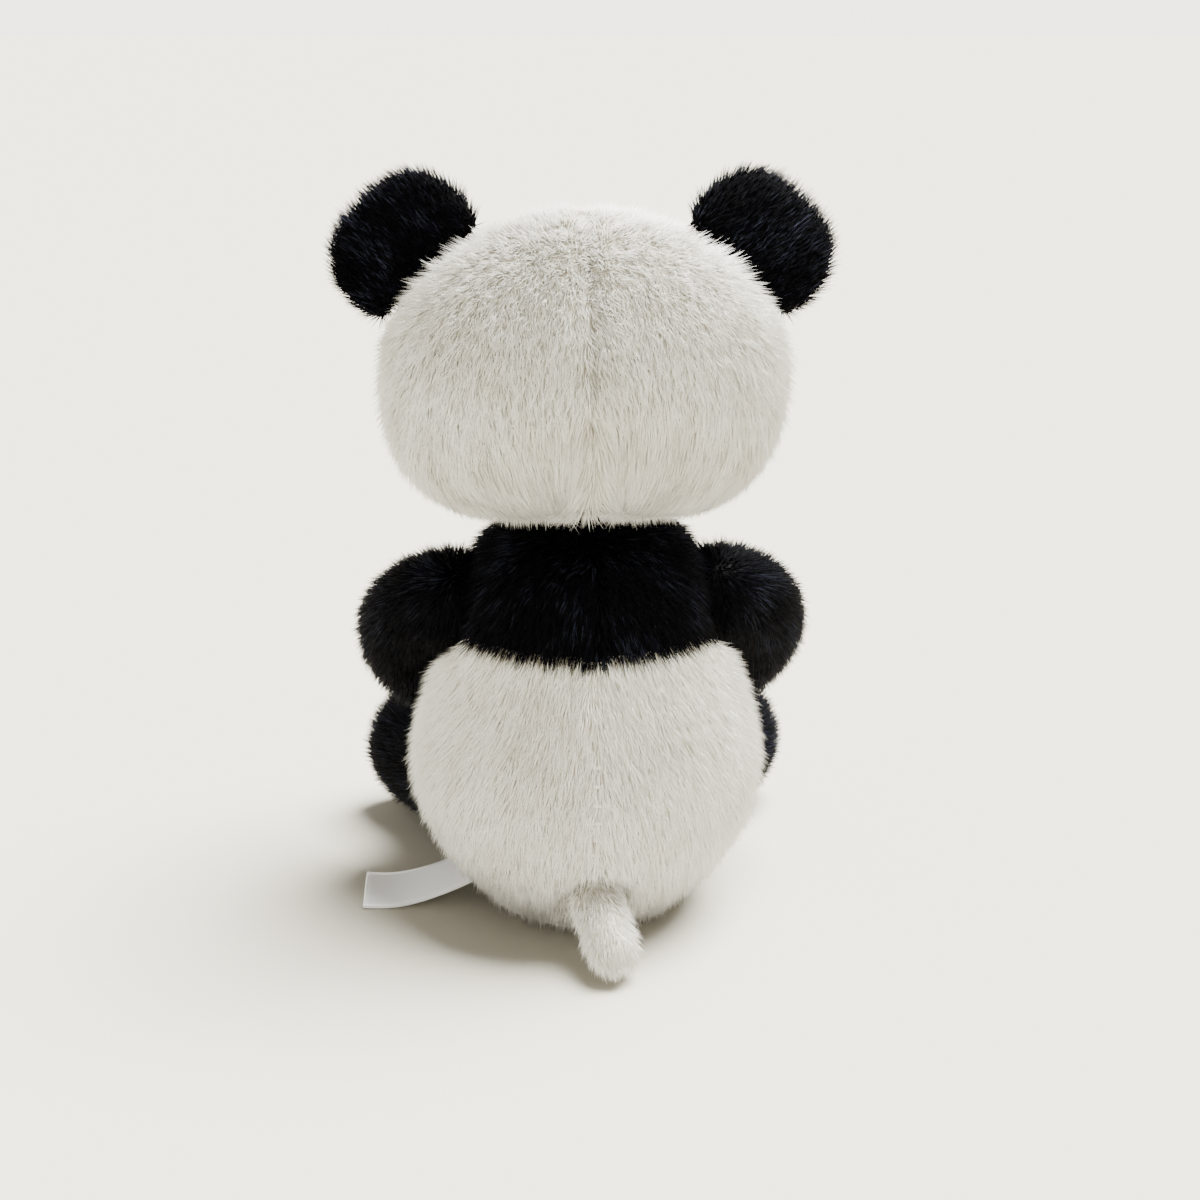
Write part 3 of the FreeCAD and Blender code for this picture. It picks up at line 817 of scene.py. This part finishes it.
pivot_of = {joint["child"]: joint["pos_m"] for joint in frame["joints"]}
for number, side in enumerate(("left", "right")):
    names = [f"arm_{side}_upper", f"arm_{side}_under"]
    low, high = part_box(names[1])
    paw = ((low.x + high.x) / 2, low.y, low.z)
    limb(names, [f"arm_{side}_stuffing"], f"arm_{side}", dict.fromkeys(names, black_pile), 400 + 20 * number,
         pivot_of[f"arm_{side}"], paw, limb_pile)
    names = [f"leg_{side}_top", f"leg_{side}_under", f"foot_{side}_sole"]
    low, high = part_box(names[2])
    limb(names, [f"leg_{side}_stuffing"], f"leg_{side}", dict.fromkeys(names, black_pile),
         500 + 20 * number, pivot_of[f"leg_{side}"], (low + high) / 2, limb_pile, sole=names[2])

names = ["tail_upper", "tail_under"]
low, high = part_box("tail_upper")
tail_tip = (-4 * MM, high.y, low.z - 4 * MM)
limb(names, ["tail_stuffing"], "tail", dict.fromkeys(names, white_pile), 600, pivot_of["tail"], tail_tip,
     limb_pile, size=2.5 * MM, cap=1.4 * MM, shrink=2.0 * MM, lean=64, ruffle=0.9)


# ---- Ears ----
# Each ear is a half-round flap of two black plush pieces, unstuffed, sewn into the crown seam, so it stays
# soft and folds along its base. The pile stands out all round its rim.

ear_pile = 6.5 * MM
for number, side in enumerate(("left", "right")):
    names = [f"ear_{side}_front", f"ear_{side}_back"]
    body = f"ear_{side}"
    base = np.array(pivot_of[body])
    low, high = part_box(names[0])
    limb(names, [], body, dict.fromkeys(names, black_pile), 700 + 20 * number, base, (low + high) / 2,
         ear_pile, size=2.5 * MM, cap=1.2 * MM, shrink=2.0 * MM, lean=52)


# ---- Eye patches and eyes ----
# Black plush ovals are sewn to the face at a slant, and a glossy black plastic safety eye is pushed
# through each. Its shank goes through the face to a washer inside the head.

for number, side in enumerate(("left", "right")):
    node = f"eye_patch_{side}"
    patch = filled_form(node + "_form", [node], 1.2 * MM)
    points, normals = places(patch.data), upright(patch.data)
    eye = eye_middles[number]
    outer = fade(-normals[:, 1], 0.1, 0.5)
    from_eye = np.linalg.norm(points - eye, axis=1)
    brushed(patch, points - eye, math.radians(60), 4.2 * MM,
            outer * fade(from_eye, 5.5 * MM, 7 * MM), ruffle=0.8)
    sewn_panels(patch, [node], "head", {node: black_pile}, 800 + number, width=0.45 * MM, density=3e6)


def clouded_finish(name, scale, detail, stops, roughness, distortion=0.0):
    """A moulded plastic whose colour drifts a little, and its shader, for what else it needs."""
    made, tree, surface, node = shader(name)
    cloud = node("ShaderNodeTexNoise", Vector=object_place(tree), Scale=scale, Detail=detail,
                 Distortion=distortion)
    tree.links.new(ramp(tree, cloud.outputs["Fac"], stops), surface.inputs["Base Color"])
    surface.inputs["Roughness"].default_value = roughness
    return made, surface


def nose_finish():
    """Black plastic with a fine pebbled skin."""
    made, tree, surface, node = shader("pebbled_black")
    pebbles = node("ShaderNodeTexVoronoi", Vector=object_place(tree), Scale=1500.0).outputs["Distance"]
    # Darker between the pebbles, where the skin dips: painted shade.
    tree.links.new(ramp(tree, pebbles, [(0.0, (0.016, 0.015, 0.016)), (0.6, (0.006, 0.006, 0.007))]),
                   surface.inputs["Base Color"])
    bump = node("ShaderNodeBump", Height=pebbles, Strength=0.4, Distance=0.1 * MM)
    bump.invert = True
    tree.links.new(bump.outputs["Normal"], surface.inputs["Normal"])
    surface.inputs["Roughness"].default_value = 0.35
    surface.inputs["Specular IOR Level"].default_value = 0.1
    return made


polished_black, eye_surface = clouded_finish("polished_black", 900.0, 4.0, [(0.4, (0.004, 0.004, 0.005)),
                                             (0.75, (0.010, 0.010, 0.012))], 0.05)
eye_surface.inputs["Specular IOR Level"].default_value = 0.12
nylon, _ = clouded_finish("natural_nylon", 300.0, 3.0, [(0.3, (0.78, 0.77, 0.72)), (0.7, (0.88, 0.87, 0.83))],
                          0.45, distortion=1.0)
for node in ("eye_left", "eye_right"):
    frame["nodes"][node].data.materials[0] = polished_black
frame["nodes"]["nose"].data.materials[0] = nose_finish()
for node in ("eye_washer_left", "eye_washer_right", "nose_washer"):
    frame["nodes"][node].data.materials[0] = nylon


# ---- Sewing ----
# Cotton thread closes the back seam with ladder stitches, which lie down in the pile, gathers the neck
# opening, and makes the small smile under the nose.

def thread_finish(name, colour, shine=0.3, twist=1500.0):
    made, tree, surface, node = shader(name)
    where = object_place(tree)
    turns = node("ShaderNodeTexWave", Vector=where, Scale=twist, Distortion=1.5)
    # Darker in the grooves of the twist, where the bump dips: painted shade.
    tree.links.new(ramp(tree, turns.outputs["Fac"], [(0.0, tuple(c * 0.55 for c in colour)), (0.6, colour)]),
                   surface.inputs["Base Color"])
    bump = node("ShaderNodeBump", Height=turns.outputs["Fac"], Strength=0.7, Distance=0.1 * MM)
    tree.links.new(bump.outputs["Normal"], surface.inputs["Normal"])
    surface.inputs["Roughness"].default_value = 0.8
    surface.inputs["Specular IOR Level"].default_value = shine
    return made


black_thread = thread_finish("black_thread", (0.004, 0.004, 0.006), shine=0.05)
frame["nodes"]["mouth_stitches"].data.materials[0] = black_thread
frame["nodes"]["neck_stitches"].data.materials[0] = black_thread
ladder = surface_of(["closing_stitches"])
stitch_depth = 2.4 * MM
for vertex in ladder.verts:
    inwards = Vector((vertex.co.x, vertex.co.y, 0)).normalized()
    vertex.co -= inwards * stitch_depth
bmesh.ops.recalc_face_normals(ladder, faces=ladder.faces)
ladder_mesh = bpy.data.meshes.new("closing_stitches")
ladder.to_mesh(ladder_mesh)
ladder.free()
ladder_mesh.shade_smooth()
ladder_mesh.materials.append(thread_finish("white_thread", (0.86, 0.84, 0.78)))
closing = new_piece("closing_seam", ladder_mesh)
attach(closing, "torso")
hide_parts("closing_stitches")


# ---- Seat and pellets ----
# A round panel of white cloth closes the bottom. Above it a cloth pouch of small plastic pellets gives the
# toy its weight, so that it sits up by itself.

def cloth_finish(name, colour, threads=1400.0, depth=0.15 * MM):
    """Plain weave: one thread over and one under."""
    made, tree, surface, node = shader(name)
    where = object_place(tree)
    warp = node("ShaderNodeTexWave", Vector=where, Scale=threads, Distortion=0.4)
    warp.bands_direction = "X"
    weft = node("ShaderNodeTexWave", Vector=where, Scale=threads, Distortion=0.4)
    weft.bands_direction = "Y"
    weave = blend_colours(tree, "DIFFERENCE", 1.0, warp.outputs["Color"], weft.outputs["Color"])
    # Darker where the threads dip under, where the bump is low: painted shade.
    dark = tuple(c * 0.78 for c in colour)
    tree.links.new(ramp(tree, weave, [(0.1, dark), (0.7, colour)]), surface.inputs["Base Color"])
    bump = node("ShaderNodeBump", Height=weave, Strength=0.5, Distance=depth)
    tree.links.new(bump.outputs["Normal"], surface.inputs["Normal"])
    surface.inputs["Roughness"].default_value = 0.85
    surface.inputs["Sheen Weight"].default_value = 0.25
    return made


frame["nodes"]["base_panel"].data.materials[0] = cloth_finish("seat_cloth", (0.86, 0.83, 0.77))
pouch_mesh = filled_form("pouch_form", ["pellet_pouch"], 1.5 * MM)
pouch_mesh.data.materials.append(cloth_finish("pouch_cloth", (0.82, 0.82, 0.80), 900.0))
pouch_mesh.data.shade_smooth()
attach(pouch_mesh, "torso")
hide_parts("pellet_pouch")

pellet_size = 3.4 * MM
pellet_pitch = 1.02 * pellet_size
layer_rise = 0.72 * pellet_size
pellet_plastic, _ = clouded_finish("pellet_plastic", 180.0, 3.0, [(0.35, (0.70, 0.73, 0.76)),
                                   (0.65, (0.86, 0.88, 0.90))], 0.35)


def bead_tree():
    """A bead on every given point."""
    tree = bpy.data.node_groups.new("beads", "GeometryNodeTree")
    tree.interface.new_socket("Geometry", in_out="INPUT", socket_type="NodeSocketGeometry")
    size = tree.interface.new_socket("Bead Radius", in_out="INPUT", socket_type="NodeSocketFloat")
    finish = tree.interface.new_socket("Material", in_out="INPUT", socket_type="NodeSocketMaterial")
    tree.interface.new_socket("Geometry", in_out="OUTPUT", socket_type="NodeSocketGeometry")
    given, result = tree.nodes.new("NodeGroupInput"), tree.nodes.new("NodeGroupOutput")
    ball = tree.nodes.new("GeometryNodeMeshIcoSphere")
    ball.inputs["Subdivisions"].default_value = 1
    tree.links.new(given.outputs["Bead Radius"], ball.inputs["Radius"])
    each = tree.nodes.new("GeometryNodeInstanceOnPoints")
    tree.links.new(given.outputs["Geometry"], each.inputs["Points"])
    tree.links.new(ball.outputs["Mesh"], each.inputs["Instance"])
    real = tree.nodes.new("GeometryNodeRealizeInstances")
    tree.links.new(each.outputs["Instances"], real.inputs["Geometry"])
    dressed = tree.nodes.new("GeometryNodeSetMaterial")
    tree.links.new(real.outputs["Geometry"], dressed.inputs["Geometry"])
    tree.links.new(given.outputs["Material"], dressed.inputs["Material"])
    tree.links.new(dressed.outputs["Geometry"], result.inputs["Geometry"])
    return tree, size.identifier, finish.identifier


heap = tree_of(["pellets"])
low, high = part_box("pellets")
centres = []
layer = 0
height = low.z + pellet_size / 2
while height < high.z - pellet_size / 2:
    shift = (layer % 2) * pellet_size / 2
    for across in np.arange(low.x + pellet_size / 2 + shift, high.x, pellet_pitch):
        for along in np.arange(low.y + pellet_size / 2 + shift, high.y, pellet_pitch):
            spot = Vector((across, along, height))
            near, outwards, _, distance = heap.find_nearest(spot)
            if distance > pellet_size / 2 and (spot - near).dot(outwards) < 0:
                centres.append(spot)
    height += layer_rise
    layer += 1
pellet_mesh = bpy.data.meshes.new("pellets")
pellet_mesh.from_pydata(centres, [], [])
pellets = new_piece("pellet_beads", pellet_mesh)
beads, bead_size, bead_finish = bead_tree()
grow = pellets.modifiers.new("beads", "NODES")
grow.node_group = beads
grow[bead_size] = pellet_size / 2
grow[bead_finish] = pellet_plastic
settle(pellets)
pellets.data.shade_smooth()
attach(pellets, "torso")
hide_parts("pellets")


# ---- Side label ----
# A white satin ribbon is folded in half and caught by both ends in the left side seam, so it lies out on
# the floor beside the toy. It is blank, with a closer woven band at its fold, painted paler as painted
# sheen, and its floats are painted darker between them as painted shade.

label_low, label_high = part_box("side_label")
ribbon_width = label_high.y - label_low.y
ribbon_reach = label_high.x - label_low.x
ribbon_thickness = 0.22 * MM
fold_radius = 0.38 * MM
hidden_root = 0.5 * MM           # the ribbon starts this far inside the end of its solid
caught_below = 1.2 * MM          # the top of the solid, where the seam catches it
droop = 2.4                      # power of its fall to the floor
fold_lift = 0.5 * MM
ripple = 0.35 * MM
ribbon_steps = 48
fold_steps = 8
across_steps = 10


def ribbon_line(share):
    """Height of the ribbon's middle above the floor, from its root to its fold."""
    rest = label_low.z + fold_radius + ribbon_thickness
    fall = (label_high.z - caught_below - rest) * (1 - share) ** droop
    return rest + fall + fold_lift * share ** 5 + ripple * math.sin(math.pi * share * 2)


def ribbon_mesh():
    """The folded ribbon as one surface, from its upper end round the fold to its lower end."""
    rows = []
    length = ribbon_reach - fold_radius - ribbon_thickness
    shares = [step / ribbon_steps for step in range(ribbon_steps + 1)]

    def out_along(share):
        return label_low.x + hidden_root + share * (length - hidden_root)

    rows += [(out_along(share), ribbon_line(share) + fold_radius, share) for share in shares]
    for step in range(1, fold_steps):
        angle = math.pi * step / fold_steps
        rows.append((label_low.x + length + math.sin(angle) * fold_radius,
                     ribbon_line(1.0) + math.cos(angle) * fold_radius, 1.0))
    rows += [(out_along(share), ribbon_line(share) - fold_radius, share) for share in reversed(shares)]
    made = bmesh.new()
    layer = made.loops.layers.uv.new("ribbon")
    grid = []
    for x, z, share in rows:
        row = []
        for step in range(across_steps + 1):
            side = step / across_steps
            sway = 0.5 * MM * share * math.sin(3.0 * side + 0.6)
            row.append(made.verts.new((x, label_low.y + side * ribbon_width, z + sway)))
        grid.append(row)
    for number in range(len(grid) - 1):
        for step in range(across_steps):
            flat = made.faces.new((grid[number][step], grid[number + 1][step], grid[number + 1][step + 1],
                                   grid[number][step + 1]))
            corners = ((step, number), (step, number + 1), (step + 1, number + 1), (step + 1, number))
            for loop, (u, v) in zip(flat.loops, corners):
                loop[layer].uv = (u / across_steps, v / (len(grid) - 1))
    bmesh.ops.recalc_face_normals(made, faces=made.faces)
    mesh = bpy.data.meshes.new("ribbon")
    made.to_mesh(mesh)
    made.free()
    return mesh


def satin_finish():
    """Satin weave: long floats that shine, painted darker between them as painted shade, with a closer woven band
    at the fold painted paler as painted sheen.
    """
    made, tree, surface, node = shader("label_satin")
    where = tree.nodes.new("ShaderNodeUVMap")
    where.uv_map = "ribbon"
    split = node("ShaderNodeSeparateXYZ", Vector=where.outputs[0])
    floats = node("ShaderNodeTexWave", Vector=where.outputs[0], Scale=70.0, Distortion=0.6)
    floats.bands_direction = "DIAGONAL"
    # Darker between the floats, where the bump dips: painted shade.
    grain = ramp(tree, floats.outputs["Fac"], [(0.1, (0.84, 0.84, 0.85)), (0.8, (0.93, 0.93, 0.93))])
    fold, band, edge_width = 0.5, 0.055, 0.004
    # The band at the fold is a closer weave, and is painted paler for its different sheen: painted sheen.
    plain, pale = (0.93, 0.93, 0.94), (1, 1, 1)
    edge = ramp(tree, split.outputs["Y"], [(fold - band - edge_width, plain), (fold - band, pale),
                                           (fold + band, pale), (fold + band + edge_width, plain)])
    tree.links.new(blend_colours(tree, "MULTIPLY", 1.0, grain, edge), surface.inputs["Base Color"])
    bump = node("ShaderNodeBump", Height=floats.outputs["Fac"], Strength=0.25, Distance=0.05 * MM)
    tree.links.new(bump.outputs["Normal"], surface.inputs["Normal"])
    surface.inputs["Roughness"].default_value = 0.32
    surface.inputs["Anisotropic"].default_value = 0.5
    surface.inputs["Sheen Weight"].default_value = 0.1
    return made


ribbon = new_piece("label_ribbon", ribbon_mesh())
body_of_cloth = ribbon.modifiers.new("thickness", "SOLIDIFY")
body_of_cloth.thickness = ribbon_thickness
body_of_cloth.offset = 0
settle(ribbon)
ribbon.data.materials.append(satin_finish())
ribbon.data.shade_smooth()
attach(ribbon, "label")
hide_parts("side_label")


# ---- Floor, light and camera ----
# The toy sits on a plain pale floor under one broad soft ceiling light, a little to its right. The room is
# dim above and as pale as the floor at the horizon, so the two meet without an edge.

def floor_finish():
    made, _, surface, _ = shader("pale_floor")
    surface.inputs["Base Color"].default_value = (0.40, 0.38, 0.32, 1)
    surface.inputs["Roughness"].default_value = 0.95
    surface.inputs["Specular IOR Level"].default_value = 0.1
    return made


floor_mesh = bpy.data.meshes.new("floor")
reach = 80.0
floor_mesh.from_pydata([(-reach, -reach, 0), (reach, -reach, 0), (reach, reach, 0), (-reach, reach, 0)], [],
                       [(0, 1, 2, 3)])
floor_mesh.materials.append(floor_finish())
new_piece("floor", floor_mesh)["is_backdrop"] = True

sun_data = bpy.data.lights.new("ceiling_light", "SUN")
sun_data.energy = 33
sun_data.angle = math.radians(38)
sun_data.color = (1.0, 0.99, 0.965)
sun = new_piece("ceiling_light", sun_data)
sun.rotation_euler = Vector((-0.75, -0.15, 2.0)).to_track_quat("Z", "Y").to_euler()

world = bpy.data.worlds.new("room")
bpy.context.scene.world = world
world.use_nodes = True
room = world.node_tree
direction = room.nodes.new("ShaderNodeTexCoord").outputs["Generated"]
rise = room.nodes.new("ShaderNodeSeparateXYZ")
room.links.new(direction, rise.inputs[0])
fall = room.nodes.new("ShaderNodeMapRange")
fall.interpolation_type = "SMOOTHSTEP"
horizon_light, overhead_light = 3.9, 0.6
for label, value in (("From Min", 0.13), ("From Max", 0.45), ("To Min", horizon_light),
                     ("To Max", overhead_light)):
    fall.inputs[label].default_value = value
room.links.new(rise.outputs["Z"], fall.inputs["Value"])
room.links.new(fall.outputs["Result"], room.nodes["Background"].inputs["Strength"])
room.nodes["Background"].inputs["Color"].default_value = (1.0, 0.965, 0.87, 1)

distance, height, turn = 0.6, math.radians(18), math.radians(3.5)
centre = Vector((0, 0, 0.110))
aim = centre - Vector((4.8 * MM, 0, 0))
away = Vector((math.sin(turn) * math.cos(height), math.cos(turn) * math.cos(height), math.sin(height)))
camera_data = bpy.data.cameras.new("camera")
camera_data.angle = math.radians(37.7)
camera_data.clip_start = 0.01
camera = new_piece("camera", camera_data)
camera.location = centre + away * distance
camera.rotation_euler = (aim - camera.location).to_track_quat("-Z", "Y").to_euler()
bpy.context.scene.camera = camera

low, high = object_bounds()
